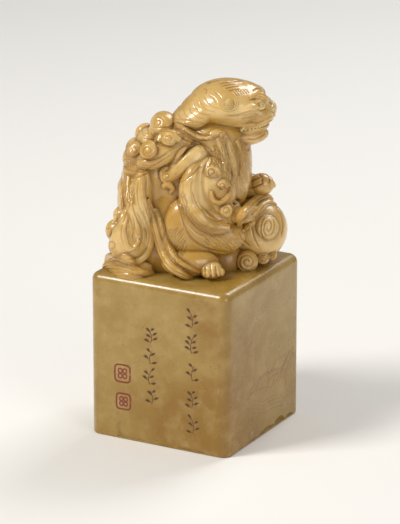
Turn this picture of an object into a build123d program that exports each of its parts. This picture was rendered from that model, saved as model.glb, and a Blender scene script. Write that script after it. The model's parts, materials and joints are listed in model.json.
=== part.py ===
"""Square soapstone seal with a guardian lion carved from the same stone.

The lion sits on the block with one forepaw raised over a ribboned ball.
Every node is one carved region of the stone, and the regions meet face to face.
"""
from build123d import *
import math
import os

# Block: a square column of stone, with its printing face down
BLOCK_SIDE = 41.4
BLOCK_HEIGHT = 45.0
COLUMN_EDGE_RADIUS = 2.8
TOP_EDGE_RADIUS = 2.2
FOOT_EDGE_RADIUS = 0.5

# Printing face: a border and a key fret left standing in a shallow field
BORDER_WIDTH = 1.8
FIELD_DEPTH = 0.9
FRET_LINE = 1.6
FRET_CENTRE_SIDE = 6.0

# Figure: the space that the carver left for the lion
FIGURE_LENGTH = 50.0
FIGURE_WIDTH = 30.0
FIGURE_HEIGHT = 50.0
FIGURE_TURN = 34.0

# Small forms of the figure
BALL_RADIUS = 8.6
RIBBON_WIDTH = 4.6
RIBBON_THICKNESS = 1.1
SPIRAL_RIDGE = 0.55
SPIRAL_HALF_TURNS = 3
EYE_RADIUS = 1.6
NOSE_RADIUS = 1.9
TOOTH_RADIUS = 0.75
TOOTH_LENGTH = 1.7
TEETH_PER_ROW = 9
EAR_RADIUS = 3.0
NAPE_CURL_RADIUS = 3.1
MANE_CURL_RADIUS = 2.4
TAIL_CURL_RADIUS = 2.3
RIBBON_CURL_RADIUS = 3.3
PAW_RADIUS = 2.9
HIND_PAW_RADIUS = 3.4
TOE_RADIUS = 1.05
TOES_PER_PAW = 4
LEG_FRINGE_RADIUS = 1.6
ELBOW_FRINGE_RADIUS = 0.9
CHEST_LOCK_RADIUS = 1.5

# Curls: how far each stands out, roots in and rounds over, as shares of its own sizes
CURL_RIDGE_SHARE = 0.14
SPIRAL_STEP_SHARE = 0.29
CURL_RISE_SHARE = 0.45
CURL_ROOT_SHARE = 0.70
CURL_ROUND_SHARE = 0.80
CURL_BEAD_SHARE = 0.42
TOOTH_TIP_SHARE = 0.6

# Masses: place and half sizes along the figure's length, width and height, and lean
TRUNK_SHARES = [
    ((-0.110, 0.00, 0.200), (0.300, 0.35, 0.345), 0),
    ((-0.045, 0.00, 0.510), (0.275, 0.32, 0.290), 0),
    ((-0.240, 0.00, 0.480), (0.146, 0.28, 0.200), 0),
]
NECK_SHARES = [((0.110, 0.00, 0.540), (0.188, 0.30, 0.340), 0)]
HEAD_SHARES = [
    ((0.170, 0.00, 0.872), (0.205, 0.32, 0.118), 0),
    ((0.020, 0.00, 0.828), (0.180, 0.25, 0.078), -30),
    ((0.308, 0.00, 0.832), (0.108, 0.23, 0.084), 0),
    ((0.240, 0.00, 0.786), (0.170, 0.235, 0.036), 0),
    ((0.314, -0.13, 0.930), (0.064, 0.12, 0.042), 14),
    ((0.314, 0.13, 0.930), (0.064, 0.12, 0.042), 14),
]
JAW_SHARES = [((0.192, 0.00, 0.692), (0.186, 0.20, 0.056), 0)]
THIGH_SHARES = [
    ((-0.030, -0.29, 0.255), (0.165, 0.17, 0.185), 20),
    ((0.110, -0.30, 0.205), (0.135, 0.155, 0.105), 0),
]
FORELEG_SHARES = [
    ((0.050, -0.32, 0.455), (0.145, 0.16, 0.200), -10),
    ((0.110, -0.34, 0.335), (0.115, 0.12, 0.085), 0),
]
LEFT_SHOULDER_SHARES = [((0.080, 0.29, 0.510), (0.125, 0.145, 0.165), 0)]
RAISED_ARM_SHARES = [
    ((0.250, 0.14, 0.418), (0.135, 0.085, 0.052)),
    ((0.264, 0.13, 0.364), (0.118, 0.100, 0.050)),
]
RAISED_ARM_TURN = -24.0
SHIN_SHARES = [((-0.050, -0.39, 0.075), (0.150, 0.115, 0.075), 0)]
HAUNCH_LOCK_SHARES = [
    ((-0.358, -0.25, 0.170), (0.108, 0.12, 0.130), 8),
    ((-0.316, -0.24, 0.340), (0.072, 0.11, 0.240), 10),
]
CAPE_LOCK_SHARES = [((-0.170, -0.235, 0.665), (0.170, 0.11, 0.072), -32)]
FLAME_SHARES = [((-0.050, -0.365, 0.596), (0.152, 0.062, 0.052), -40)]
SKIRT_SHARES = [((-0.320, 0.00, 0.000), (0.150, 0.40, 0.056), 0)]

# Ridges: three places that a round ridge runs through
LEG_FRINGE_SHARES = [(-0.262, -0.235, 0.520), (-0.216, -0.400, 0.200), (0.000, -0.455, 0.034)]
ELBOW_FRINGE_SHARES = [(-0.036, -0.415, 0.300), (0.080, -0.455, 0.240), (0.180, -0.405, 0.268)]
CHEST_LOCK_SHARES = [(0.150, -0.290, 0.720), (0.184, -0.310, 0.580), (0.212, -0.250, 0.430)]

# Places of the small forms
EYE_SHARE = (0.330, -0.210, 0.886)
NOSE_SHARE = (0.402, 0.0, 0.850)
NOSTRIL_SHARE = (0.394, -0.070, 0.836)
EAR_SHARE = (0.166, -0.300, 0.900)
FOREPAW_SHARE = (0.190, -0.375, 0.350)
HIND_PAW_SHARE = (0.055, -0.455, 0.048)
RAISED_PAW_SHARE = (0.356, 0.060, 0.436)
BALL_SHARE = (0.320, 0.040, 0.168)
BALL_SPIRAL_SHARE = (0.29, -0.86, 0.43)
RIBBON_AXIS_SHARE = (-0.66, 0.66, 0.36)
RIBBON_CURL_SHARE = (0.262, -0.270, 0.062)
RIBBON_BUD_SHARE = (0.362, -0.190, 0.046)
LEAF_CURL_SHARE = (0.240, -0.280, 0.285)
FLAME_CURL_SHARE = (-0.140, -0.370, 0.516)
FORELEG_CURL_SHARE = (0.124, -0.455, 0.466)
SMALL_CURL_SHARE = 0.85
BALL_SPIRAL_SIZE_SHARE = 0.42

# Paws: turn, and how far each is stretched along its length, width and height
HIND_PAW_TURN = -70.0
HIND_PAW_STRETCH_SHARE = (0.95, 1.0, 0.8)
FOREPAW_TURN = -20.0
FOREPAW_STRETCH_SHARE = (1.1, 0.9, 0.8)
RAISED_PAW_STRETCH_SHARE = (1.0, 0.95, 0.7)
TOE_REACH_SHARE = 0.92
TOE_ARC_SHARE = 0.3
TOE_SPREAD_SHARE = 0.84
TOE_DROP_SHARE = 0.4
EYE_STRETCH_SHARE = (1.0, 0.8, 0.8)
NOSE_STRETCH_SHARE = (0.75, 1.2, 0.85)
NOSTRIL_STRETCH_SHARE = (0.7, 0.62, 0.62)

# Which way the curls face: forward, to the lion's left, and up
SIDE_FACING_SHARE = (0, -1, 0)
EAR_FACING_SHARE = (-0.1, -1, 0.25)
FORELEG_CURL_FACING_SHARE = (0.2, -1, 0.3)
RIBBON_CURL_FACING_SHARE = (0, -1, 0.3)
RIBBON_BUD_FACING_SHARE = (0.3, -1, 0.3)
LEAF_FACING_SHARE = (0.2, -1, 0.4)
ROW_FACING_SHARE = 0.55

# Tooth rows: how far each reaches forward and sideways from its middle, and its height
TOOTH_ROW_SHARE = (0.200, 0.0)
TOOTH_ROW_SPREAD = 66.0
UPPER_ROW_SHARES = (0.190, 0.200, 0.746)
LOWER_ROW_SHARES = (0.120, 0.150, 0.728)

# Rows of curls: place and radius, as a share of the row's own curl radius
NAPE_CURL_SHARES = [
    (-0.166, 0.0, 0.760, 1.10),
    (-0.240, 0.0, 0.684, 0.95),
    (-0.310, 0.0, 0.584, 1.10),
]
MANE_CURL_SHARES = [
    (-0.136, -0.190, 0.716, 0.95),
    (-0.250, -0.260, 0.652, 0.95),
    (0.010, -0.330, 0.720, 0.80),
    (0.092, -0.330, 0.740, 0.85),
]
TAIL_SHARES = [
    (-0.396, -0.06, 0.290, 1.00),
    (-0.430, -0.06, 0.200, 1.10),
    (-0.414, -0.06, 0.108, 1.05),
]

# Printing face: one quarter of the fret, as shares of half the field
FRET_QUARTER_SHARES = [(0.12, 0.80), (0.80, 0.80), (0.80, 0.16), (0.40, 0.16), (0.40, 0.50), (0.60, 0.50)]

# Regions smaller than this share of their node's largest solid are carver's waste
WASTE_SHARE = 0.02


def spot(share):
    """A place on the figure: forward, to its left, and up from the top of the block."""
    forward, leftward, upward = share[:3]
    return Vector(forward * FIGURE_LENGTH, leftward * FIGURE_WIDTH, upward * FIGURE_HEIGHT)


def mass(place_share, size_share, lean=0, turn=0):
    """A rounded mass whose half sizes are shares of the figure's three sizes."""
    return Location(spot(place_share), (0, lean, turn)) * scale(Sphere(1), by=tuple(spot(size_share)))


def masses(shares):
    """Rounded masses that run into one another."""
    body = mass(*shares[0])
    for share in shares[1:]:
        body += mass(*share)
    return body


def knob(place_share, radius, stretch_share, turn=0):
    """A small rounded form of its own radius, stretched along its three axes."""
    half_sizes = tuple(radius * stretch for stretch in stretch_share)
    return Location(spot(place_share), (0, 0, turn)) * scale(Sphere(1), by=half_sizes)


def ridge(shares, radius):
    """A round ridge that bends through three places."""
    path = ThreePointArc(*[spot(share) for share in shares])
    return sweep(Plane(origin=path @ 0, z_dir=path % 0) * Circle(radius), path=path)


def curl_button(radius):
    """A round button of stone, rounded over at its top edge."""
    rise = radius * CURL_RISE_SHARE
    root = radius * CURL_ROOT_SHARE
    button = Location((0, 0, (rise - root) / 2)) * Cylinder(radius, rise + root)
    return fillet(button.edges().sort_by(Axis.Z)[-1], rise * CURL_ROUND_SHARE)


def curl(centre, radius, facing):
    """A small curl of hair: a button with a bead where the hair winds in."""
    rise = radius * CURL_RISE_SHARE
    bead = Location((0, 0, rise)) * Sphere(radius * CURL_BEAD_SHARE)
    return Plane(origin=centre, z_dir=facing) * (curl_button(radius) + bead)


def volute(centre, radius, facing):
    """A large curl: a button with a spiral ridge that winds in to a bead."""
    crest_radius = min(SPIRAL_RIDGE, radius * CURL_RIDGE_SHARE)
    outer_radius = radius - crest_radius * 2
    start = Vector(outer_radius, 0)
    heading = Vector(0, 1)
    arcs = []
    for half_turn in range(SPIRAL_HALF_TURNS):
        arc = JernArc(start, heading, outer_radius * (1 - half_turn * SPIRAL_STEP_SHARE), 180)
        arcs.append(arc)
        start = arc @ 1
        heading = arc % 1
    path = Wire(arcs)
    section = Plane(origin=path @ 0, z_dir=path % 0) * Circle(crest_radius)
    crest = Location((0, 0, radius * CURL_RISE_SHARE)) * sweep(section, path=path)
    return Plane(origin=centre, z_dir=facing) * (curl_button(radius) + crest)


def mirrored(solid):
    """The same region on the lion's left side."""
    return mirror(solid, about=Plane.XZ)


def paw(place_share, radius, turn, stretch_share):
    """A rounded paw with a fan of toes along its front."""
    body = knob(place_share, radius, stretch_share, turn)
    reach = radius * stretch_share[0]
    spread = radius * stretch_share[1]
    for index in range(TOES_PER_PAW):
        side = (index + 0.5) / TOES_PER_PAW * 2 - 1
        forward = reach * (TOE_REACH_SHARE - TOE_ARC_SHARE * side * side)
        place = (forward, spread * TOE_SPREAD_SHARE * side, -TOE_RADIUS * TOE_DROP_SHARE)
        body += Location(spot(place_share), (0, 0, turn)) * Location(place) * Sphere(TOE_RADIUS)
    return body


def make_seal_block():
    """The square column, with a shallow field cut in its printing face."""
    block = Location((0, 0, BLOCK_HEIGHT / 2)) * Box(BLOCK_SIDE, BLOCK_SIDE, BLOCK_HEIGHT)
    block = fillet(block.edges().filter_by(Axis.Z), COLUMN_EDGE_RADIUS)
    block = fillet(block.faces().sort_by(Axis.Z)[-1].edges(), TOP_EDGE_RADIUS)
    block = fillet(block.faces().sort_by(Axis.Z)[0].edges(), FOOT_EDGE_RADIUS)
    field_side = BLOCK_SIDE - 2 * BORDER_WIDTH
    corner = COLUMN_EDGE_RADIUS - BORDER_WIDTH / 2
    field = extrude(RectangleRounded(field_side, field_side, corner), FIELD_DEPTH)
    return block - field


def make_printing_relief():
    """The key fret that stands level with the border."""
    half_field = BLOCK_SIDE / 2 - BORDER_WIDTH
    points = [(x * half_field, y * half_field) for x, y in FRET_QUARTER_SHARES]
    hook = trace(Polyline(*points), line_width=FRET_LINE)
    fret = Sketch() + [Rot(0, 0, 90 * quarter) * hook for quarter in range(4)]
    fret += Rectangle(FRET_CENTRE_SIDE, FRET_CENTRE_SIDE)
    return extrude(fret, FIELD_DEPTH)


def make_nose():
    """The nose with its two nostril wings."""
    nose = knob(NOSE_SHARE, NOSE_RADIUS, NOSE_STRETCH_SHARE)
    wing = knob(NOSTRIL_SHARE, NOSE_RADIUS, NOSTRIL_STRETCH_SHARE)
    return nose + wing + mirrored(wing)


def tooth_row(row_shares, points_down):
    """A row of pegs around the front of one jaw."""
    forward, sideways, upward = row_shares
    row = []
    for index in range(TEETH_PER_ROW):
        angle = math.radians(TOOTH_ROW_SPREAD * (2 * index / (TEETH_PER_ROW - 1) - 1))
        centre = spot((*TOOTH_ROW_SHARE, upward))
        centre += spot((forward * math.cos(angle), sideways * math.sin(angle), 0))
        peg = Cone(TOOTH_RADIUS, TOOTH_RADIUS * TOOTH_TIP_SHARE, TOOTH_LENGTH)
        row.append(Location(centre, (0, 180 if points_down else 0, 0)) * peg)
    return Part() + row


def make_ball_spiral():
    """The spiral relief that sits on the ball."""
    direction = Vector(*BALL_SPIRAL_SHARE).normalized()
    return volute(spot(BALL_SHARE) + direction * BALL_RADIUS, BALL_RADIUS * BALL_SPIRAL_SIZE_SHARE, direction)


def make_ribbon():
    """The ribbon tied round the ball."""
    band = Cylinder(BALL_RADIUS + RIBBON_THICKNESS, RIBBON_WIDTH)
    band = fillet(band.edges().filter_by(GeomType.CIRCLE), RIBBON_THICKNESS / 2)
    return Plane(origin=spot(BALL_SHARE), z_dir=RIBBON_AXIS_SHARE) * band


def curl_row(shares, radius, side):
    """A row of curls that face out from the figure's middle line."""
    row = []
    for share in shares:
        facing = Vector(-ROW_FACING_SHARE, side, ROW_FACING_SHARE)
        row.append(curl(spot(share), radius * share[3], facing))
    return Part() + row


def cut_back(region, carriers):
    """A region cut by each carrier that it meets, without the waste that the cuts leave."""
    for carrier, carrier_box in carriers:
        if boxes_meet(region.bounding_box(optimal=False), carrier_box):
            rest = [solid for solid in (region - carrier).solids() if solid.volume > 0]
            if rest:
                region = Compound(rest)
    solids = region.solids()
    largest = max(solid.volume for solid in solids)
    return [solid for solid in solids if solid.volume > WASTE_SHARE * largest]


def boxes_meet(first, second):
    """Whether the boxes of two regions touch."""
    lows = (first.min, second.min)
    highs = (first.max, second.max)
    for axis in ("X", "Y", "Z"):
        low = max(getattr(corner, axis) for corner in lows)
        high = min(getattr(corner, axis) for corner in highs)
        if low > high:
            return False
    return True


def figure_regions():
    """The lion's regions in its own frame, larger ones first."""
    right_thigh = masses(THIGH_SHARES)
    right_hind_foot = masses(SHIN_SHARES)
    raised_arm = masses(LEFT_SHOULDER_SHARES)
    for arm_share in RAISED_ARM_SHARES:
        raised_arm += mass(*arm_share, turn=RAISED_ARM_TURN)
    haunch_lock = masses(HAUNCH_LOCK_SHARES)
    cape_lock = masses(CAPE_LOCK_SHARES)
    hind_paw = paw(HIND_PAW_SHARE, HIND_PAW_RADIUS, HIND_PAW_TURN, HIND_PAW_STRETCH_SHARE)
    small_radius = MANE_CURL_RADIUS * SMALL_CURL_SHARE
    flame = masses(FLAME_SHARES) + curl(spot(FLAME_CURL_SHARE), small_radius, SIDE_FACING_SHARE)
    leg_fringe = ridge(LEG_FRINGE_SHARES, LEG_FRINGE_RADIUS)
    chest_lock = ridge(CHEST_LOCK_SHARES, CHEST_LOCK_RADIUS)
    mane_curls = curl_row(MANE_CURL_SHARES, MANE_CURL_RADIUS, -1)
    ear = volute(spot(EAR_SHARE), EAR_RADIUS, EAR_FACING_SHARE)
    eye = knob(EYE_SHARE, EYE_RADIUS, EYE_STRETCH_SHARE)
    return {
        "lion_trunk": masses(TRUNK_SHARES),
        "lion_neck": masses(NECK_SHARES),
        "lion_head": masses(HEAD_SHARES),
        "brocade_ball": Location(spot(BALL_SHARE)) * Sphere(BALL_RADIUS),
        "right_thigh": right_thigh,
        "left_thigh": mirrored(right_thigh),
        "right_foreleg": masses(FORELEG_SHARES),
        "left_raised_foreleg": raised_arm,
        "right_hind_foot": right_hind_foot,
        "left_hind_foot": mirrored(right_hind_foot),
        "lower_jaw": masses(JAW_SHARES),
        "right_haunch_lock": haunch_lock,
        "left_haunch_lock": mirrored(haunch_lock),
        "right_cape_lock": cape_lock,
        "left_cape_lock": mirrored(cape_lock),
        "hair_skirt": masses(SKIRT_SHARES),
        "right_hind_paw": hind_paw,
        "left_hind_paw": mirrored(hind_paw),
        "right_forepaw": paw(FOREPAW_SHARE, PAW_RADIUS, FOREPAW_TURN, FOREPAW_STRETCH_SHARE),
        "left_raised_paw": paw(RAISED_PAW_SHARE, PAW_RADIUS, 0, RAISED_PAW_STRETCH_SHARE),
        "ball_ribbon": make_ribbon(),
        "right_shoulder_flame": flame,
        "left_shoulder_flame": mirrored(flame),
        "right_leg_fringe": leg_fringe,
        "left_leg_fringe": mirrored(leg_fringe),
        "right_elbow_fringe": ridge(ELBOW_FRINGE_SHARES, ELBOW_FRINGE_RADIUS),
        "right_chest_lock": chest_lock,
        "left_chest_lock": mirrored(chest_lock),
        "nape_curls": curl_row(NAPE_CURL_SHARES, NAPE_CURL_RADIUS, 0),
        "right_mane_curls": mane_curls,
        "left_mane_curls": mirrored(mane_curls),
        "tail_curls": curl_row(TAIL_SHARES, TAIL_CURL_RADIUS, 0),
        "right_ear": ear,
        "left_ear": mirrored(ear),
        "right_eye": eye,
        "left_eye": mirrored(eye),
        "nose": make_nose(),
        "ball_spiral": make_ball_spiral(),
        "right_foreleg_curl": curl(spot(FORELEG_CURL_SHARE), small_radius, FORELEG_CURL_FACING_SHARE),
        "ribbon_curl": volute(spot(RIBBON_CURL_SHARE), RIBBON_CURL_RADIUS, RIBBON_CURL_FACING_SHARE),
        "ribbon_bud": curl(spot(RIBBON_BUD_SHARE), small_radius, RIBBON_BUD_FACING_SHARE),
        "ribbon_leaf": curl(spot(LEAF_CURL_SHARE), small_radius, LEAF_FACING_SHARE),
        "upper_teeth": tooth_row(UPPER_ROW_SHARES, True),
        "lower_teeth": tooth_row(LOWER_ROW_SHARES, False),
    }


def carve():
    """Every node of the stone, each cut back by the larger ones that it meets."""
    seat = Location((0, 0, BLOCK_HEIGHT), (0, 0, FIGURE_TURN))
    block = make_seal_block()
    nodes = {"seal_block": [block], "printing_relief": make_printing_relief().solids()}
    ground = seat.inverse() * block
    carriers = [(ground, ground.bounding_box(optimal=False))]
    for name, region in figure_regions().items():
        kept = cut_back(region, carriers)
        carriers += [(solid, solid.bounding_box(optimal=False)) for solid in kept]
        nodes[name] = [seat * solid for solid in kept]
    return nodes


os.makedirs("parts", exist_ok=True)
for node_name, node_solids in carve().items():
    export_step(Compound(children=list(node_solids), label=node_name), f"parts/{node_name}.step")
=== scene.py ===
"""A carved soapstone seal stamp: a square column with a guardian lion as its handle."""

import math

import bmesh
import bpy
import numpy as np
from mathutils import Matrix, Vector
from mathutils.bvhtree import BVHTree
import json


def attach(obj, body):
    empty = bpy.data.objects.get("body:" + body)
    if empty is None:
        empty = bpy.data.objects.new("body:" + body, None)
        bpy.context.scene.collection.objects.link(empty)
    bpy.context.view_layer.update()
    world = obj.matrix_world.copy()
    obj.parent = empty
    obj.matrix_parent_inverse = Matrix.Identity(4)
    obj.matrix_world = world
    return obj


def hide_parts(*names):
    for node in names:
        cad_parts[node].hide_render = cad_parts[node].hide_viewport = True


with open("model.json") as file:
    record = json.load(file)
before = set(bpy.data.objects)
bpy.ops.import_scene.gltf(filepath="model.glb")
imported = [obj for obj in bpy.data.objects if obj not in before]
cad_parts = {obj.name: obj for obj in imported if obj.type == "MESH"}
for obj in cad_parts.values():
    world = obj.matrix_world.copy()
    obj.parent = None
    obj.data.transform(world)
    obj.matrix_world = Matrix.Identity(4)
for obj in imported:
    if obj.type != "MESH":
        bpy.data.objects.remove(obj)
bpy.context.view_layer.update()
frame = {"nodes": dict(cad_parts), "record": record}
bpy.ops.object.select_all(action="DESELECT")

# Sizes of the stone, in millimetres
BLOCK_SIDE = 41.4
BLOCK_HEIGHT = 45.0
COLUMN_EDGE = 2.8
TOP_EDGE = 2.2
FOOT_EDGE = 0.5
BORDER = 1.8
FIELD_DEPTH = 0.9
LION_TURN = math.radians(34.0)
# How far from the middle the carving goes freely, and how far past that it still comes when pressed back
FREE_REACH = 19.4
PRESSED_REACH = 1.1
# How fine the carved pieces are: the inner ones are coarser, and those with fine cuts are finer
GRAIN = 0.215
ROUGH_GRAIN = 0.6
GRAIN_SHARES = {
    "lion_trunk": 1.4, "lion_neck": 1.4, "lion_head": 0.75, "lower_jaw": 0.75, "right_thigh": 0.75,
    "right_foreleg": 0.75, "right_haunch_lock": 0.75, "right_cape_lock": 0.75, "brocade_ball": 0.75,
}

# The camera that the photograph fits
AZIMUTH = math.radians(28.68)
ELEVATION = math.radians(18.2)
DISTANCE = 892.6
FOCAL = 3375.6
TARGET_RIGHT = 1.15
TARGET_UP = 45.03
PICTURE = (400.0, 524.0)


class Sight:
    """The photograph's camera, seen from one frame of the stone."""

    def __init__(self, turn, lift):
        spin = np.array([
            [math.cos(turn), math.sin(turn), 0],
            [-math.sin(turn), math.cos(turn), 0],
            [0, 0, 1],
        ])
        back = np.array([
            math.sin(AZIMUTH) * math.cos(ELEVATION),
            -math.cos(AZIMUTH) * math.cos(ELEVATION),
            math.sin(ELEVATION),
        ])
        right = np.array([math.cos(AZIMUTH), math.sin(AZIMUTH), 0.0])
        up = np.cross(back, right)
        target = right * TARGET_RIGHT + np.array([0.0, 0.0, TARGET_UP])
        self.eye = spin @ (target + back * DISTANCE - np.array([0.0, 0.0, lift]))
        self.back = spin @ back
        self.right = spin @ right
        self.up = spin @ up

    def pixels(self, points):
        """Where points fall in the photograph."""
        away = points - self.eye
        depth = -(away @ self.back)
        across = PICTURE[0] / 2 + FOCAL * (away @ self.right) / depth
        down = PICTURE[1] / 2 - FOCAL * (away @ self.up) / depth
        return np.stack([across, down], axis=1)

    def ray(self, across, down):
        """The direction in which a pixel is seen."""
        direction = (
            self.right * (across - PICTURE[0] / 2) / FOCAL
            - self.up * (down - PICTURE[1] / 2) / FOCAL
            - self.back
        )
        return direction / np.linalg.norm(direction)


LION_SIGHT = Sight(LION_TURN, BLOCK_HEIGHT)
BLOCK_SIGHT = Sight(0.0, 0.0)

# Rounded masses of the lion, along its length, width and height: place, half sizes, lean and turn
MASSES = {
    "lion_trunk": [
        ((-5.5, 0, 10), (15, 10.5, 17.25)), ((-2.25, 0, 25.5), (13.75, 9.6, 14.5)),
        ((-12, 0, 24), (7.3, 8.4, 10)), ((7.0, -1.5, 1.5), (6.5, 7.0, 6.0)),
    ],
    "lion_neck": [((5.5, 0, 27), (9.4, 9, 17)), ((4.6, 0, 35.6), (8.8, 8.6, 4.9))],
    "lion_head": [
        ((8.3, 0, 43.6), (10.1, 9.4, 6.2)), ((1, 0, 41.4), (9, 7.5, 3.9), -30),
        ((15.4, 0, 41.6), (5.4, 6.9, 4.2)), ((12, 0, 39.3), (8.5, 7.05, 1.8)),
        ((15.9, -3.3, 45.1), (2.9, 3.6, 2.1), 14), ((15.9, 3.3, 45.1), (2.9, 3.6, 2.1), 14),
        ((11.5, 0, 46.0), (6.5, 5.5, 3.4), 6), ((3.5, 0, 43.6), (8.5, 6.5, 4.2), -24),
    ],
    "lower_jaw": [((10.2, 0, 35.0), (9.0, 5.9, 3.2)), ((11.8, 0, 37.5), (7.6, 5.4, 2.3))],
    "right_thigh": [((-1.5, -8.7, 12.75), (8.25, 5.1, 9.25), 20), ((5.5, -9, 10.25), (6.75, 4.65, 5.25))],
    "right_foreleg": [((2.5, -9.2, 22.5), (7.0, 3.9, 9.4), -10), ((5.5, -9.8, 16.75), (5.75, 3.2, 4.25))],
    "right_hind_foot": [((-2.5, -11.7, 3.75), (7.5, 3.45, 3.75))],
    "right_haunch_lock": [
        ((-17.9, -7.5, 8.5), (5.2, 3.6, 6.5), 8), ((-15.8, -7.2, 17), (3.4, 3.3, 12), 10),
        ((-15.6, -3.4, 17.5), (4.8, 5.2, 9.8), 4),
    ],
    "right_cape_lock": [((-8.5, -7.05, 33.25), (8.5, 3.3, 3.6), -32)],
    "hair_skirt": [((-16.8, 0, 0), (7.0, 11.8, 4.6))],
    "brocade_ball": [((16, 1.2, 8.4), (8.5, 8.5, 8.5))],
    "right_hind_paw": [((2.75, -13.4, 2.2), (3.1, 2.8, 2.4))],
    "right_forepaw": [((10.0, -11.0, 16.2), (2.9, 2.4, 2.2))],
    "left_raised_paw": [((17.6, 2.0, 20.4), (3.4, 2.8, 3.0))],
    "left_raised_foreleg": [
        ((4, 8.7, 25.5), (6.25, 4.35, 8.25)), ((12.6, 4.1, 19.8), (7.0, 3.0, 3.6), 0, -24),
        ((9.8, 5.2, 18.6), (4.0, 3.4, 4.2), 0, -24),
    ],
    "right_eye": [((16.3, -6.0, 43.9), (1.3, 0.9, 1.0))],
    "nose": [((19.6, 0, 41.7), (1.7, 2.4, 2.1)), ((19.2, -2.2, 41.1), (1.6, 1.3, 1.4)),
             ((19.2, 2.2, 41.1), (1.6, 1.3, 1.4))],
}

# Strands that stand out of the near side: picture points with the strand's radius, and how deep it sits
STRANDS = {
    "right_shoulder_flame": [
        ([(204, 151, 1.8), (198, 154, 2.5), (190, 160, 2.6), (181, 168, 2.2), (172, 175, 1.7),
          (165, 178.5, 1.1)], 0.55),
        ([(165, 178, 1.0), (162, 175, 0.8), (163, 170, 0.7), (168, 167, 0.6)], 0.4),
        ([(186, 146, 0.5), (180, 152, 0.8), (175, 161, 0.8), (170, 168, 0.5)], 0.3),
        ([(163, 187, 0.7), (168, 184, 0.9), (173, 188, 0.8), (170, 193, 0.5)], 0.3),
    ],
    "right_elbow_fringe": [
        ([(187, 196, 0.4), (190, 211, 0.8), (198, 223, 1.0), (210, 230, 1.0), (223, 231, 0.8),
          (233, 228, 0.4)], 0.35),
        ([(190, 205, 0.3), (197, 216, 0.6), (208, 223, 0.7), (220, 224, 0.5), (229, 221, 0.3)], 0.35),
    ],
    "right_leg_fringe": [
        ([(146, 198, 0.8), (151, 213, 1.2), (157, 232, 1.4), (163, 251, 1.4), (172, 266, 1.3),
          (186, 275, 1.1), (198, 278, 0.7)], 0.3),
        ([(155, 208, 0.6), (162, 226, 1.0), (168, 244, 1.1), (177, 259, 1.0), (190, 268, 0.8),
          (200, 272, 0.5)], 0.4),
    ],
    "right_haunch_lock": [
        ([(141, 172, 1.0), (140, 188, 1.5), (142, 204, 1.5), (148, 220, 1.5), (151, 236, 1.5),
          (147, 251, 1.5), (136, 261, 1.3), (124, 263, 1.0), (112, 262, 0.6)], 0.6),
        ([(129, 176, 0.8), (128, 192, 1.1), (131, 206, 1.1), (136, 222, 0.9), (139, 234, 0.5)], 0.65),
        ([(132, 201, 0.4), (126, 216, 1.0), (123, 232, 1.3), (126, 246, 1.2), (134, 249, 0.9),
          (140, 240, 0.7)], 0.6),
        ([(124, 182, 0.5), (123, 198, 0.9), (123, 214, 0.9), (120, 230, 0.8), (121, 244, 0.5)], 0.7),
    ],
    "hair_skirt": [
        ([(100, 263, 0.6), (110, 257, 1.2), (124, 258, 1.4), (138, 264, 1.3), (151, 266, 0.8)], 0.5),
        ([(97, 270, 0.6), (108, 265, 1.1), (124, 267, 1.3), (140, 272, 1.2), (153, 274, 0.7)], 0.5),
        ([(98, 277, 0.5), (110, 274, 0.9), (126, 276, 1.1), (142, 280, 0.8)], 0.5),
    ],
    "right_chest_lock": [
        ([(226, 136, 0.7), (230, 148, 1.1), (233, 161, 1.1), (234, 174, 0.9), (231, 184, 0.5)], 0.75),
        ([(236, 140, 0.6), (241, 153, 1.0), (242, 166, 0.9), (240, 176, 0.5)], 0.75),
        ([(217, 137, 0.6), (221, 149, 1.0), (224, 161, 0.9), (225, 172, 0.5)], 0.75),
    ],
    "right_mane_curls": [
        ([(176, 124, 0.6), (186, 131, 1.0), (198, 137, 1.1), (209, 138, 0.8)], 0.6),
        ([(209, 139, 0.9), (213, 134, 1.1), (220, 133, 1.1), (225, 137, 0.9), (222, 141, 0.7)], 0.6),
        ([(158, 143, 0.8), (163, 137, 1.5), (172, 136, 1.7), (181, 140, 1.1)], 0.5),
    ],
    "right_foreleg": [
        ([(199, 160, 0.5), (192, 172, 1.9), (188, 189, 2.6), (191, 204, 2.5), (201, 218, 2.3),
          (216, 226, 2.0), (230, 228, 1.3)], 0.65),
    ],
    "right_forepaw": [
        ([(211, 191, 0.5), (213, 199, 0.8), (219, 202, 0.8), (226, 198, 0.8), (230, 190, 0.6),
          (230, 183, 0.4)], 0.3), ([(219, 187, 0.9), (223, 183, 1.2), (228, 186, 0.9)], 0.3),
    ],
    "right_foreleg_curl": [
        ([(207, 176, 0.6), (208, 170, 0.9), (214, 168, 1.0), (218, 173, 0.9), (214, 177, 0.6)], 0.4),
    ],
    "ribbon_leaf": [
        ([(238, 226, 0.5), (241, 220, 1.0), (247, 217, 1.0), (253, 219, 0.7)], 0.3),
        ([(242, 231, 0.5), (248, 225, 1.0), (255, 222, 0.6)], 0.3),
    ],
    "ball_ribbon": [
        ([(237, 221, 0.8), (244, 213, 1.5), (252, 205, 1.6), (261, 198, 1.5), (269, 194, 1.1),
          (275, 197, 0.5)], 0.5),
        ([(244, 226, 0.7), (251, 217, 1.1), (259, 209, 1.2), (268, 203, 1.1), (276, 205, 0.5)], 0.5),
    ],
    "lion_head": [
        ([(241, 129, 0.4), (250, 127, 0.6), (260, 123.5, 0.7), (268, 119, 0.7), (274, 115, 0.6)], 0.6),
        ([(239, 114, 0.4), (245, 110.5, 0.9), (252, 107.5, 1.1), (258, 107, 0.6)], 0.6),
        ([(250, 98, 0.4), (256, 95, 0.7), (262, 95, 0.8), (266, 99, 0.5)], 0.6),
    ],
}

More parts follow.
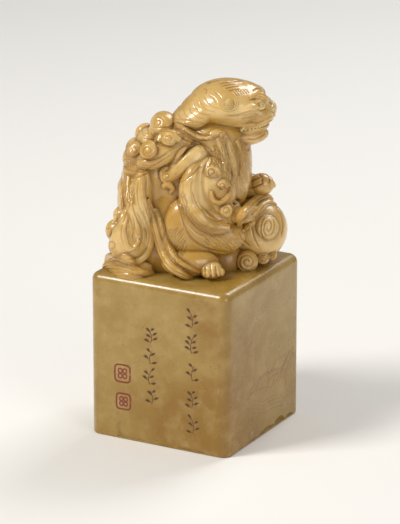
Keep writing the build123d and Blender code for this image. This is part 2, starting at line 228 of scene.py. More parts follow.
# Curls that stand out of the near side: picture place and radius, how far each is lifted, and for those that
# face sideways, how far out they are
NEAR_CURLS = {
    "right_mane_curls": [(149, 150, 2.6), (135.5, 150, 2.5), (169, 139, 2.1), (222, 137, 1.4, -0.2)],
    "right_ear": [(229.5, 103.5, 2.5, -0.62)],
    "right_foreleg_curl": [(212, 172, 1.7, -0.1), (226, 211, 1.8)],
    "ribbon_curl": [(247, 261.5, 3.0, 0.0, -7.0)],
    "ribbon_bud": [(263, 258, 1.7, 0.0, -5.6), (272, 255, 1.4, 0.0, -4.2)],
    "ball_spiral": [(268, 227, 3.4, -0.3)],
    "right_shoulder_flame": [(166, 177, 1.6)],
}
# Curls along the spine and the tail: place and radius
NAPE_CURLS = [((-8.3, 0, 37.8), 3.7), ((-12, 0, 33.9), 3.3), ((-15.3, 0, 29.0), 3.9)]
TAIL_CURLS = [((-19.2, -2.4, 14.2), 2.8), ((-20.8, -2.4, 10.2), 3.2), ((-20.2, -2.4, 6.0), 3.1)]

# The large masses come first, because the strands and the curls lie on them
BASE = ["lion_trunk", "lion_neck", "lion_head", "lower_jaw", "right_thigh", "right_foreleg",
        "right_hind_foot", "right_haunch_lock", "right_cape_lock", "hair_skirt", "brocade_ball"]
PAWS = ["right_hind_paw", "right_forepaw"]
TRIM = ["right_shoulder_flame", "right_leg_fringe", "right_elbow_fringe", "right_chest_lock",
        "right_mane_curls", "right_ear", "right_foreleg_curl", "ribbon_curl", "ribbon_bud", "ribbon_leaf",
        "ball_ribbon", "ball_spiral"]
PAIRED = ["thigh", "hind_foot", "haunch_lock", "cape_lock", "hind_paw", "shoulder_flame", "leg_fringe",
          "chest_lock", "mane_curls", "ear", "eye"]
# Pieces that are cut on both sides alike
CENTRAL = ["lion_trunk", "lion_neck", "lion_head", "lower_jaw", "hair_skirt", "nape_curls", "tail_curls",
           "nose", "brocade_ball", "left_raised_foreleg"]
# The small pieces of the face cast no shade and take hardly any
PALE = ["upper_teeth", "lower_teeth", "nose", "right_eye", "left_eye", "right_ear", "left_ear"]


def pick(*pieces):
    """Only these are selected, and the first is active, so that the next operator acts on them alone."""
    bpy.ops.object.select_all(action="DESELECT")
    for piece in pieces:
        piece.select_set(True)
    if pieces:
        bpy.context.view_layer.objects.active = pieces[0]


def put_in_scene(name, data):
    """A new object for a mesh, a curve, a lamp or a camera."""
    holder = bpy.data.objects.new(name, data)
    bpy.context.scene.collection.objects.link(holder)
    return holder


def ball(place, size, lean=0.0, turn=0.0):
    """A rounded mass of clay."""
    pick()
    bpy.ops.mesh.primitive_ico_sphere_add(
        subdivisions=5,
        radius=1.0,
        location=place,
        rotation=(0.0, math.radians(lean), math.radians(turn)),
        scale=size,
    )
    return bpy.context.active_object


def flow(points, steps=6):
    """A smooth line through a few points, which may carry a radius too."""
    points = np.asarray(points, float)
    before = np.vstack([2 * points[0] - points[1], points, 2 * points[-1] - points[-2]])
    line = []
    for index in range(1, len(before) - 2):
        a, b, c, d = before[index - 1 : index + 3]
        for step in range(steps):
            t = step / steps
            line.append(0.5 * (2 * b + (c - a) * t + (2 * a - 5 * b + 4 * c - d) * t**2
                               + (3 * b - a - 3 * c + d) * t**3))
    line.append(points[-1])
    return np.array(line)


THINNEST_STRAND = 0.15


def rope(points, radii):
    """A round strand that runs through places, with its own radius at each."""
    line = flow(np.hstack([np.asarray(points, float), np.asarray(radii, float)[:, None]]))
    curve = bpy.data.curves.new("strand", "CURVE")
    curve.dimensions = "3D"
    curve.bevel_depth = 1.0
    curve.bevel_resolution = 4
    curve.use_fill_caps = True
    spline = curve.splines.new("POLY")
    spline.points.add(len(line) - 1)
    spline.points.foreach_set("co", np.hstack([line[:, :3], np.ones((len(line), 1))]).ravel())
    spline.points.foreach_set("radius", np.maximum(line[:, 3], THINNEST_STRAND))
    pick(put_in_scene("strand", curve))
    bpy.ops.object.convert(target="MESH")
    return bpy.context.active_object


def knead(name, lumps, grain, smoothing=3):
    """Lumps of clay become one piece, its joins softened."""
    pick(*lumps)
    if len(lumps) > 1:
        bpy.ops.object.join()
    bpy.ops.object.transform_apply(location=True, rotation=True, scale=True)
    piece = bpy.context.active_object
    piece.name = name + "_carved"
    piece.data.name = piece.name
    remesh = piece.modifiers.new("remesh", "REMESH")
    remesh.mode = "VOXEL"
    remesh.voxel_size = grain
    bpy.ops.object.modifier_apply(modifier=remesh.name)
    soften = piece.modifiers.new("soften", "SMOOTH")
    soften.factor = 0.5
    soften.iterations = smoothing
    bpy.ops.object.modifier_apply(modifier=soften.name)
    bpy.ops.object.shade_smooth()
    return piece


def each_vertex(piece, what):
    """A piece's vertex places, as co, or their normals, as normal."""
    values = np.empty(len(piece.data.vertices) * 3)
    piece.data.vertices.foreach_get(what, values)
    return values.reshape(-1, 3)


def corners(piece):
    """A piece's vertices."""
    return each_vertex(piece, "co")


def set_corners(piece, places):
    """Moves a piece's vertices."""
    piece.data.vertices.foreach_set("co", np.ascontiguousarray(places, dtype=float).ravel())
    piece.data.update()


def rough_surface(pieces):
    """The masses as one surface that pixels can be cast on to."""
    places = []
    faces = []
    for piece in pieces:
        start = len(places)
        places += [tuple(place) for place in corners(piece)]
        faces += [[start + index for index in face.vertices] for face in piece.data.polygons]
    return BVHTree.FromPolygons(places, faces)


# Where a pixel misses the lion, the nearest place is looked for along its ray, a millimetre at a time
SEARCH_START = DISTANCE - 60
SEARCH_STEPS = 120
OFF_THE_EDGE = 0.3


def cast(surface, across, down):
    """The place and the normal that a pixel shows on the rough lion."""
    eye = Vector(LION_SIGHT.eye)
    direction = Vector(LION_SIGHT.ray(across, down))
    place, normal, _, _ = surface.ray_cast(eye, direction)
    if place is None:
        best = math.inf
        for step in range(SEARCH_STEPS):
            point = eye + direction * (SEARCH_START + step)
            nearest, outward, _, gap = surface.find_nearest(point)
            if gap < best:
                best = gap
                place = nearest.lerp(point, OFF_THE_EDGE)
                normal = outward
    return place, normal


def lay_strand(surface, points, sink):
    """A strand along picture points, sunk into the surface that it lies on."""
    places = []
    radii = []
    for across, down, radius in points:
        place, normal = cast(surface, across, down)
        places.append(place + normal * radius * (0.5 - sink))
        radii.append(radius)
    return rope(places, radii)


CURL_THICKNESS = 0.7
SIDEWAYS = Vector((0.05, -1.0, 0.25)).normalized()


def lay_curl(surface, across, down, radius, lift=0.05, plane=None):
    """A round button of hair that sits on the surface, or that faces sideways on a plane of its own."""
    if plane is None:
        place, normal = cast(surface, across, down)
    else:
        eye = Vector(LION_SIGHT.eye)
        direction = Vector(LION_SIGHT.ray(across, down))
        place = eye + direction * ((plane - eye.y) / direction.y)
        normal = SIDEWAYS
    lump = ball((0, 0, 0), (radius, radius, radius * CURL_THICKNESS))
    lump.rotation_mode = "QUATERNION"
    lump.rotation_quaternion = normal.to_track_quat("Z", "Y")
    lump.location = place + normal * radius * lift
    return lump


rough = [knead(name, [ball(*mass) for mass in MASSES[name]], ROUGH_GRAIN) for name in BASE + PAWS]
SURFACE = rough_surface(rough)
for piece in rough:
    bpy.data.objects.remove(piece)

PIECES = {}


def lumps_of(name):
    """All the clay that a piece is made of."""
    lumps = [ball(*mass) for mass in MASSES.get(name, [])]
    lumps += [lay_strand(SURFACE, points, sink) for points, sink in STRANDS.get(name, [])]
    lumps += [lay_curl(SURFACE, *curl) for curl in NEAR_CURLS.get(name, [])]
    return lumps


def make(name, lumps, share=0.8, smoothing=2):
    """Kneads a piece and keeps it."""
    PIECES[name] = knead(name, lumps, GRAIN * share, smoothing)


TOES = 4


def toes(place, reach, spread, radius, degrees):
    """A fan of toes with a claw in front of each."""
    turn = math.radians(degrees)
    lumps = []
    for index in range(TOES):
        side = (index + 0.5) / TOES * 2 - 1
        forward = reach * (0.92 - 0.3 * side * side)
        across = spread * 0.84 * side
        x = place[0] + forward * math.cos(turn) - across * math.sin(turn)
        y = place[1] + forward * math.sin(turn) + across * math.cos(turn)
        z = place[2] - radius * 0.4
        lumps.append(ball((x, y, z), (radius, radius, radius * 1.05)))
        tip = (x + math.cos(turn) * radius * 1.15, y + math.sin(turn) * radius * 1.15, z - radius * 0.55)
        root = (x, y, z + radius * 0.35)
        knuckle = ((x + tip[0]) / 2, (y + tip[1]) / 2, root[2])
        lumps.append(rope([root, knuckle, tip], [radius * 0.3, radius * 0.42, radius * 0.2]))
    return lumps


for name in BASE:
    make(name, lumps_of(name), GRAIN_SHARES.get(name, 1.0), 5)
for name in TRIM:
    make(name, lumps_of(name))
make("right_hind_paw", lumps_of("right_hind_paw") + toes((2.75, -13.3, 2.4), 2.9, 3.1, 1.1, -75))
make("right_forepaw", lumps_of("right_forepaw") + toes((10.2, -11.0, 16.0), 2.9, 2.3, 0.95, -20))
make("left_raised_foreleg", lumps_of("left_raised_foreleg"), 1.0, 4)
make("left_raised_paw", lumps_of("left_raised_paw") + toes((17.8, 2.0, 20.8), 2.5, 2.3, 1.1, 0))
upper = []
lower = []
for angle in range(-88, 89, 8):
    x = math.cos(math.radians(angle))
    y = math.sin(math.radians(angle))
    upper.append(ball((11.6 + 7.9 * x, 6.0 * y, 38.4 + 1.0 * x), (0.5, 0.5, 0.75)))
    lower.append(ball((11.2 + 7.7 * x, 5.5 * y, 37.7 + 0.8 * x), (0.45, 0.45, 0.65)))
make("upper_teeth", upper, 0.7, 1)
make("lower_teeth", lower, 0.7, 1)
make("nape_curls", [ball(place, (radius, radius * 1.25, radius)) for place, radius in NAPE_CURLS], 1.0, 3)
make("tail_curls", [ball(place, (radius, radius * 0.95, radius)) for place, radius in TAIL_CURLS], 1.0, 3)
make("right_eye", lumps_of("right_eye"), 0.6)
make("nose", lumps_of("nose"), 0.7)


def spiral(across, down, radius, way, turns, start, tail, squeeze=1.0, lean=0.0):
    """Picture points that wind in to a centre."""
    points = []
    count = max(10, int(turns * 14))
    for index in range(count + 1):
        share = index / count
        angle = start + way * share * turns * 2 * math.pi
        reach = radius * (1 - (1 - tail) * share)
        x = reach * math.cos(angle) * squeeze
        y = reach * math.sin(angle)
        points.append((across + x * math.cos(lean) - y * math.sin(lean),
                       down + x * math.sin(lean) + y * math.cos(lean)))
    return points


def inside(area, x, y):
    """Whether a picture point lies in an area."""
    odd = False
    for (ax, ay), (bx, by) in zip(area, np.roll(area, 1, axis=0)):
        if (ay > y) != (by > y) and x < (bx - ax) * (y - ay) / (by - ay) + ax:
            odd = not odd
    return odd


def tufts(area, spacing, length, angle, bend, seed, spread):
    """Short hair strokes over an area of the picture, all combed one way."""
    dice = np.random.default_rng(seed)
    area = np.asarray(area, float)
    low = area.min(axis=0)
    high = area.max(axis=0)
    strokes = []
    row = 0
    y = low[1]
    while y < high[1]:
        x = low[0] + (row % 2) * spacing * 0.5
        while x < high[0]:
            px = x + dice.uniform(-0.3, 0.3) * spacing
            py = y + dice.uniform(-0.3, 0.3) * spacing
            if inside(area, px, py):
                heading = math.radians(angle) + dice.normal(0, spread)
                reach = length * dice.uniform(0.7, 1.2)
                middle = (px + math.cos(heading) * reach / 2, py + math.sin(heading) * reach / 2)
                end = heading + bend
                tip = (middle[0] + math.cos(end) * reach / 2, middle[1] + math.sin(end) * reach / 2)
                strokes.append([(px, py), middle, tip])
            x += spacing
        y += spacing * 0.8
        row += 1
    return strokes


# How fast a cut widens from its ends, for a plain cut, a leaf and a closed ring
PLAIN_SWELL = 6.0
LEAF_SWELL = 1.6
RING_SWELL = 60.0
# Every cut: its line, half width in pixels, depth in millimetres, stain, pieces and swell
CUTS = []
INK_CUTS = []
RED_CUTS = []
HAIRLINES = []


def cut(points, width, depth, stain, pieces=None, kept=CUTS, swell=PLAIN_SWELL, steps=6):
    """One cut of the knife along a smooth line, in all the pieces that are seen there or in some."""
    kept.append((flow(points, steps), width, depth, stain, pieces, swell))


HEAD = ["lion_head"]
EYE = ["right_eye", "lion_head"]
MUZZLE = ["lion_head", "nose"]
# Lines cut into the near side: half width, depth, stain, pieces and the picture points
LINES = [
    # Brow, cheek, mouth, eye and nose
    (0.5, 0.16, 0.72, HEAD, [
        [(218, 84.5), (226, 82.3), (236, 80.6), (246, 80.8)],
        [(220, 86.5), (229, 84.6), (238, 83.2), (244, 83.4)], [(224, 88.8), (231, 87), (240, 85.6)],
        [(228, 91), (234, 89.6), (240, 89)], [(206, 84.5), (212, 81.6), (219, 79.8)],
    ]),
    (0.6, 0.16, 0.4, HEAD, [
        [(203, 88), (206.5, 90), (206, 94)], [(209, 95), (214, 98), (217, 103)],
        [(214, 91), (219, 95), (222, 99)],
    ]),
    (0.8, 0.3, 0.5, ["lion_head", "lower_jaw"], [
        [(238, 132.5), (246, 130.5), (256, 127.5), (265, 123.5), (274, 118.5)],
    ]),
    (0.8, 0.26, 0.4, HEAD, [[(225, 115.5), (233, 115.8), (240, 114.5), (248, 112), (256, 110.5)]]),
    (0.7, 0.2, 0.3, HEAD, [[(241, 119), (247, 118.8), (253, 117)]]),
    (0.8, 0.3, 0.45, HEAD, [[(249, 101), (254, 99), (260, 99), (265, 102), (267, 106)]]),
    (0.7, 0.25, 0.45, HEAD, [[(258, 108.5), (262, 110), (267, 109)]]),
    (0.8, 0.28, 0.7, MUZZLE, [[(269, 101), (272, 104), (271.5, 108)]]),
    (0.7, 0.22, 0.5, MUZZLE, [[(271, 110), (274, 113), (275, 118)]]),
    (0.7, 0.2, 0.4, HEAD, [[(253, 91), (258, 88.5), (263, 89.5)]]),
    (0.8, 0.3, 0.9, EYE, [[(257.6, 103.4), (258.4, 103.8)], [(264.2, 109.2), (264.8, 109.6)]]),
    (0.8, 0.26, 0.5, ["lower_jaw"], [[(246, 138.5), (254, 139.5), (261, 136.5), (267, 131.5)]]),
    # Mane and nape
    (0.9, 0.28, 0.6, None, [
        [(180, 128), (189, 135), (199, 140), (209, 141)], [(184, 126), (193, 131), (203, 135), (212, 135)],
        [(175, 130), (183, 138), (193, 143), (203, 145)],
    ]),
    (0.9, 0.26, 0.4, None, [
        [(150, 126), (160, 128), (170, 127), (176, 122)], [(141, 138), (152, 140), (162, 145), (175, 147)],
        [(132, 158), (145, 160), (158, 158), (170, 152)], [(125, 168), (140, 172), (154, 166), (166, 158)],
        [(123, 172), (136, 177), (150, 172)],
    ]),
    # Shoulder pad and foreleg
    (0.8, 0.24, 0.4, None, [
        [(204, 143), (196, 145), (187, 150.5), (180, 158.5), (172, 168)],
        [(208, 150), (209, 158), (205, 165), (199, 168)], [(203, 163), (195, 172), (187, 179), (177, 183)],
        [(206, 147), (212, 152), (213, 161), (207, 168)],
    ]),
    (0.8, 0.24, 0.38, None, [
        [(180, 188), (183, 202), (189, 215), (198, 226), (211, 234)],
        [(176, 190), (179, 206), (185, 220), (195, 232), (208, 239)],
        [(201, 206), (207, 216), (217, 221), (227, 219)], [(192, 190), (197, 204), (206, 214)],
        [(213, 190), (216, 198), (221, 199)],
    ]),
    # Knee and the arm's outline
    (1.2, 0.35, 0.6, None, [[(179, 208), (184, 225), (192, 239), (205, 248), (220, 252), (234, 253)]]),
    (2.2, 0.5, 0.3, None, [
        [(210, 156), (205, 168), (203, 180), (204, 193), (209, 205), (218, 215), (228, 220)],
    ]),
    # The deep gap between the raised foreleg, the chest and the ball, cut in and darkened almost to black as
    # painted shade
    (1.7, 1.1, 1.3, ["lion_neck", "lion_trunk", "right_forepaw", "right_elbow_fringe", "right_foreleg_curl",
                     "right_foreleg"], [[(233, 203.5), (236.5, 202), (240.5, 201)]]),
    # Leg fringe, haunch and skirt
    (0.8, 0.24, 0.4, None, [
        [(149, 200), (155, 216), (160, 233), (167, 251), (176, 264), (189, 271)],
        [(143, 200), (148, 214), (154, 232), (158, 248), (166, 264), (178, 273), (192, 278)],
        [(160, 214), (166, 232), (173, 248), (183, 260), (196, 267)],
        [(139, 178), (137, 192), (139, 207), (146, 222), (149, 237), (145, 250), (135, 258), (121, 260)],
        [(147, 176), (146, 190), (148, 202)], [(124, 180), (123, 196), (126, 210), (131, 222), (133, 234)],
        [(132, 202), (136, 216), (142, 230), (141, 243), (132, 252), (121, 253)],
        [(130, 204), (124, 220), (120, 235), (123, 248)], [(130, 214), (127, 228), (128, 240)],
        [(133, 216), (134, 228), (132, 240)], [(99, 270), (112, 265), (126, 268), (142, 271)],
        [(103, 265), (114, 258), (128, 263), (141, 266)], [(104, 276), (120, 276), (136, 279)],
    ]),
    # Fine hairs
    (0.45, 0.12, 0.42, None, [
        [(121, 184), (119.5, 200), (120, 212)], [(126, 178), (125, 192), (126.5, 206)],
        [(134, 178), (133, 192), (135, 206)], [(141, 206), (146, 219), (148.5, 233), (146, 248), (138, 256)],
        [(146, 204), (151, 219), (152.5, 236), (149, 251)], [(137, 212), (141, 222), (142, 234), (138, 246)],
        [(126, 226), (124.5, 238), (127, 245)], [(152, 206), (158, 222), (162, 238), (168, 254), (178, 266)],
        [(157, 204), (164, 222), (170, 240), (178, 254)], [(182, 270), (192, 275), (200, 276)],
        [(108, 261), (122, 262), (136, 268), (148, 270)], [(104, 273), (118, 272), (132, 275), (146, 277)],
        [(184, 192), (187, 205), (193, 216), (203, 225), (216, 230)],
        [(193, 178), (191, 190), (194, 204), (202, 214)], [(186, 168), (183, 180), (183, 192)],
        [(199, 160), (193, 170), (189, 182)], [(200, 212), (209, 220), (220, 225), (230, 225)],
        [(204, 208), (213, 216), (223, 219)], [(150, 158), (160, 156), (171, 150), (181, 145)],
        [(138, 164), (150, 166), (162, 161), (173, 153)], [(130, 164), (140, 167), (150, 169)],
        [(160, 132), (168, 131), (177, 134)], [(196, 128), (205, 133), (214, 137)],
    ]),
    # Ball, ribbon and raised paw
    (0.8, 0.28, 0.5, None, [
        [(237, 227), (246, 217), (254, 208), (263, 200), (272, 197)],
        [(246, 212), (254, 203), (263, 196), (271, 192)], [(259, 214), (264, 206), (272, 203), (279, 207)],
        [(276, 205), (281, 214), (283, 226), (281, 238)], [(251, 226), (254, 238), (259, 248)],
        [(239, 230), (243, 240), (250, 247)],
    ]),
    (0.9, 0.3, 0.75, ["left_raised_foreleg", "left_raised_paw"], [
        [(243, 184), (253, 180), (263, 176)], [(240, 190), (252, 188), (264, 183)],
        [(265, 172), (270, 177), (269, 184)], [(258, 173), (262, 178), (262, 185)],
    ]),
]
for width, depth, stain, pieces, lines in LINES:
    for line in lines:
        cut(line, width, depth, stain, pieces)
for line in ([(205, 266), (205, 278)], [(210.5, 264), (211, 279)], [(216, 265), (216.5, 279)]):
    cut(line, 0.9, 0.35, 0.5, ["right_hind_paw"], steps=3)

# Curls of hair: how many turns, where they start and how far in they end, then half width, depth, stain and
# pieces, and each curl's place, reach and way round
CURL_CUTS = [
    ((0.9, 0.0, 0.9), (0.55, 0.2, 0.45, EYE), [(261.5, 104.5, 2.6, 1)]),
    ((1.4, 0.5, 0.3), (0.7, 0.22, 0.36), [
        (148, 151, 6.0, 1), (135, 150, 5.4, -1), (169, 139, 5.0, 1), (158, 122, 6.5, -1), (146, 131, 5.0, 1),
        (126, 163, 5.0, -1), (222, 136, 4.2, -1), (166, 177, 5.0, 1),
    ]),
    ((1.3, 1.0, 0.3), (0.75, 0.28, 0.5), [(212, 172, 4.6, 1), (226, 211, 4.4, -1), (223, 186, 3.6, 1)]),
    ((0.8, math.radians(200), 0.7), (0.8, 0.28, 0.4), [
        (113, 219, 5.2, 1), (107, 233, 5.6, 1), (110, 246, 5.2, 1),
    ]),
    ((2.1, 0.2, 0.12), (0.75, 0.28, 0.48), [
        (247, 262, 10.0, 1), (263, 259, 5.0, -1), (272, 256, 4.4, 1), (246, 225, 4.0, 1),
    ]),
]
for winding, knife, curls in CURL_CUTS:
    for curl in curls:
        cut(spiral(*curl, *winding), *knife)
for reach in (2.4, 4.4, 6.4, 8.4):
    cut(spiral(229.5, 103.5, reach, 1, 0.62, math.radians(-20), 0.95, 1.15, -0.25), 0.55, 0.15, 0.36)
cut(spiral(268.3, 227, 15.5, 1, 2.6, 0.3, 0.12, 0.58, 0.1), 0.75, 0.3, 0.5, ["ball_spiral", "brocade_ball"])

# Combed hair: its area, the strokes' spacing, length, angle, bend, seed and spread, then half width, depth,
# stain and pieces
COMBED = [
    ([(241, 141), (258, 144), (255, 150), (243, 148)], (3.0, 5.0, 150, 0.2, 5, 0.12),
     (0.5, 0.13, 0.4, ["lower_jaw", "lion_neck"])),
    ([(211, 144), (221, 146), (224, 163), (213, 164), (208, 153)], (2.8, 6.5, 62, 0.4, 7, 0.05),
     (0.45, 0.12, 0.72)),
    ([(224, 140), (246, 143), (250, 172), (240, 190), (226, 180)], (3.4, 9.0, 84, -0.25, 9, 0.07),
     (0.55, 0.16, 0.4)),
    ([(184, 133), (206, 142), (200, 147), (182, 143)], (3.0, 7.0, 20, 0.3, 11, 0.06), (0.5, 0.14, 0.42)),
    ([(166, 228), (184, 226), (188, 250), (178, 258), (168, 244)], (2.8, 7.5, 124, -0.2, 13, 0.05),
     (0.5, 0.14, 0.5)),
    ([(176, 186), (184, 188), (188, 212), (180, 214)], (4.0, 8.0, 75, 0.1, 15, 0.12), (0.7, 0.2, 0.5)),
    ([(205, 235), (238, 236), (240, 249), (212, 250), (200, 242)], (3.6, 8.0, 28, 0.3, 17, 0.06),
     (0.6, 0.15, 0.4)),
    ([(119, 186), (137, 186), (135, 200), (120, 205)], (4.0, 9.0, 96, 0.1, 19, 0.12), (0.7, 0.2, 0.5)),
]
for area, comb, knife in COMBED:
    for line in tufts(area, *comb):
        cut(line, *knife)

# Hair behind the ear, over the back of the head and over the eye
for shift in range(6):
    x, y = 204 - 5.2 * shift, 95 + 3.4 * shift
    cut([(x, y), (x + 2, y + 6), (x + 8, y + 11.5), (x + 18, y + 14)], 0.5, 0.09, 0.42, HEAD)
    x, y = 232.5 + 2.4 * shift, 91.5 - 0.6 * shift
    cut([(x, y), (x + 2.6, y + 2.2), (x + 4.6, y + 5.2)], 0.42, 0.12, 0.85, HEAD)
for shift in range(7):
    line = [(173 + 7 * shift, 119 + 2.0 * shift), (183 + 7 * shift, 119.5 + 1.6 * shift),
            (193 + 6 * shift, 121 + 1.2 * shift)]
    cut(line, 0.5, 0.13, 0.38, HEAD)

# A cut fades where the surface turns away and towards its own ends
GRAZING = 0.05
FADE_SPAN = 0.25
BLUNT_END = 0.3
CUT_REACH = 2.6


def carve(places, normals, sight, cuts, name):
    """How deep each vertex is cut, and how much stain it holds."""
    pixels = sight.pixels(places)
    towards = sight.eye - places
    towards /= np.linalg.norm(towards, axis=1)[:, None]
    facing = np.clip(((normals * towards).sum(axis=1) - GRAZING) / FADE_SPAN, 0, 1)
    depth = np.zeros(len(places))
    stain = np.zeros(len(places))
    near = np.nonzero(facing > 0)[0]
    seen = pixels[near]
    for line, width, cut_depth, cut_stain, pieces, swell in cuts:
        if pieces is not None and name not in pieces:
            continue
        reach = width * CUT_REACH
        low = line.min(axis=0) - reach
        high = line.max(axis=0) + reach
        hit = np.nonzero(((seen > low) & (seen < high)).all(axis=1))[0]
        if not len(hit):
            continue
        here = seen[hit]
        best = np.full(len(hit), np.inf)
        along = np.zeros(len(hit))
        count = len(line) - 1
        for index in range(count):
            start = line[index]
            step = line[index + 1] - start
            share = np.clip(((here - start) @ step) / max(step @ step, 1e-9), 0, 1)
            gap = np.linalg.norm(here - start - share[:, None] * step, axis=1)
            closer = gap < best
            best[closer] = gap[closer]
            along[closer] = (index + share[closer]) / count
        taper = np.clip(np.minimum(along, 1 - along) * swell + BLUNT_END, 0, 1)
        profile = np.exp(-((best / (width * taper)) ** 2)) * taper
        target = near[hit]
        depth[target] = np.maximum(depth[target], profile * cut_depth)
        stain[target] = np.maximum(stain[target], profile * cut_stain)
    return depth * facing, np.minimum(stain, 1) * facing


# Patches on the lion: painted shade, warmer, under the jaw, under the belly and between the legs, and painted
# highlight, paler, on the lit bulges of head, cheek, shoulder and arm. Patches on the column: warmer or paler
# stone. Each: place in the picture, half sizes and amount
LION_SHADE_AND_HIGHLIGHT_PATCHES = [
    (222, 124, 22, 8, 0.7), (243, 152, 10, 22, 0.4), (170, 202, 12, 20, 0.5), (188, 250, 22, 12, 0.5),
    (228, 266, 10, 14, 0.9), (112, 258, 12, 8, 0.4), (150, 160, 16, 8, 0.4), (126, 240, 8, 18, 0.35),
    (262, 92, 8, 6, 0.35), (197, 156, 12, 12, -0.6), (212, 92, 16, 12, -0.5), (253, 108, 9, 6, -0.6),
    (200, 206, 10, 24, -0.5), (134, 198, 10, 22, -0.4), (212, 270, 12, 10, -0.6), (152, 124, 9, 8, -0.4),
    (144, 232, 8, 26, -0.4), (270, 212, 12, 16, -0.3), (256, 130, 10, 8, 0.2), (162, 256, 8, 18, -0.35),
]
BLOCK_PATCHES = [
    (212, 318, 22, 26, 0.7), (206, 424, 16, 34, 0.6), (236, 350, 14, 60, 0.35), (104, 395, 12, 45, -0.5),
    (160, 290, 50, 14, -0.6), (124, 430, 10, 22, -0.5), (282, 380, 10, 60, 0.35), (262, 300, 20, 26, -0.4),
    (150, 400, 26, 30, 0.25), (112, 318, 16, 26, 0.3), (196, 300, 14, 12, 0.5), (178, 362, 12, 40, -0.35),
]


def tone_shade_and_highlight_of(places, sight, patches):
    """How much warmer or paler each vertex is made by a set of patches: the column's own tone, and painted
    shade and painted highlight on the lion.
    """
    seen = sight.pixels(places)
    warmth = np.zeros(len(places))
    for across, down, wide, tall, amount in patches:
        warmth += amount * np.exp(-((seen[:, 0] - across) / wide) ** 2 - ((seen[:, 1] - down) / tall) ** 2)
    return warmth


MIRROR = np.array([1.0, -1.0, 1.0])
STAINS = {}
PAINTED_SHADE_AND_HIGHLIGHT = {}
for name, piece in PIECES.items():
    places = corners(piece)
    normals = each_vertex(piece, "normal")
    depth, stain = carve(places, normals, LION_SIGHT, CUTS, name)
    if name in CENTRAL:
        other_depth, other_stain = carve(places * MIRROR, normals * MIRROR, LION_SIGHT, CUTS, name)
        depth = np.maximum(depth, other_depth)
        stain = np.maximum(stain, other_stain)
    set_corners(piece, places - normals * depth[:, None])
    STAINS[name] = stain
    # Painted shade and painted highlight from the lion's patches
    PAINTED_SHADE_AND_HIGHLIGHT[name] = tone_shade_and_highlight_of(places, LION_SIGHT, LION_SHADE_AND_HIGHLIGHT_PATCHES)


def twin(name, twin_name):
    """The same piece on the lion's left side."""
    source = PIECES[name]
    mesh = source.data.copy()
    piece = put_in_scene(twin_name + "_carved", mesh)
    set_corners(piece, corners(source) * MIRROR)
    mesh.flip_normals()
    PIECES[twin_name] = piece
    STAINS[twin_name] = STAINS[name]
    PAINTED_SHADE_AND_HIGHLIGHT[twin_name] = PAINTED_SHADE_AND_HIGHLIGHT[name]


for part in PAIRED:
    twin("right_" + part, "left_" + part)

# A grid of cells round the lion, in millimetres, in which crowded places are found
CELL = 0.5
LOW = np.array([-28.0, -20.0, -4.0])
SPAN = (114, 82, 118)


def box_blur(grid, times):
    """Spreads a grid's values to the cells around them."""
    for _ in range(times):
        for axis in range(3):
            grid = (np.roll(grid, 1, axis) + grid + np.roll(grid, -1, axis)) / 3
    return grid


def cell_of(places):
    """The grid cell that each vertex lies in."""
    cells = ((places - LOW) / CELL).astype(int)
    return tuple(np.clip(cells[:, axis], 0, SPAN[axis] - 1) for axis in range(3))


OWN = {}
TOTAL = np.zeros(SPAN)
for name, piece in PIECES.items():
    own = np.zeros(SPAN)
    if name not in PALE:
        own[cell_of(corners(piece))] = 1.0
    OWN[name] = own
    TOTAL += own

# Painted shade is given where other pieces are close, where the carving is crowded, or where it meets the
# column
CLOSE = 1.7
CROWD_FROM = 0.42
CROWDED = 1.3
AT_FOOT = 0.4
FOOT_FADE = 1.2
PAINTED_SHADES = {}
BROAD = box_blur(np.minimum(TOTAL, 3), 5)
for name, piece in PIECES.items():
    places = corners(piece)
    others = box_blur(np.minimum(TOTAL - OWN[name], 1), 1)[cell_of(places)]
    crowd = np.clip(BROAD[cell_of(places)] - CROWD_FROM, 0, 1)
    foot = np.exp(-((np.maximum(places[:, 2], 0) / FOOT_FADE) ** 2))
    PAINTED_SHADES[name] = np.clip(others * CLOSE + crowd * CROWDED + foot * AT_FOOT, 0, 1)
# Painted shade: the belly under the lion is made darker still
under = tone_shade_and_highlight_of(corners(PIECES["lion_trunk"]), LION_SIGHT, [(228, 266, 12, 17, 1.1)])
PAINTED_SHADES["lion_trunk"] = np.clip(PAINTED_SHADES["lion_trunk"] + under, 0, 1)


def give(piece, label, values):
    """A value for each vertex that the stone's colour reads."""
    attribute = piece.data.attributes.new(label, "FLOAT", "POINT")
    attribute.data.foreach_set("value", np.ascontiguousarray(values, dtype=np.float32))


def stand_on_block(places):
    """From the lion's own frame to the stone's, in metres."""
    x = places[:, 0] * math.cos(LION_TURN) - places[:, 1] * math.sin(LION_TURN)
    y = places[:, 0] * math.sin(LION_TURN) + places[:, 1] * math.cos(LION_TURN)
    return np.stack([x, y, places[:, 2] + BLOCK_HEIGHT], axis=1) / 1000


def keep_over_block(places):
    """Presses what would hang past the column back over it, because both come from one stone."""
    beyond = np.maximum(np.abs(places[:, :2]) * 1000 - FREE_REACH, 0)
    pressed = FREE_REACH + (1 - np.exp(-beyond)) * PRESSED_REACH
    level = np.where(beyond > 0, np.sign(places[:, :2]) * pressed / 1000, places[:, :2])
    return np.hstack([level, places[:, 2:]])


# How much of its shade a piece takes: the soft locks take less, and the small pieces of the face hardly any
SHADE = {
    "right_chest_lock": 0.5, "left_chest_lock": 0.5, "lion_neck": 0.6, "ball_ribbon": 0.4, "ribbon_leaf": 0.5,
    "right_forepaw": 0.5, "ribbon_bud": 0.6, "left_raised_foreleg": 0.6, "brocade_ball": 0.6,
    "right_foreleg": 0.7, "right_shoulder_flame": 0.7, "right_haunch_lock": 0.8, "left_haunch_lock": 0.8,
}
SHADE.update({name: 0.2 for name in PALE})
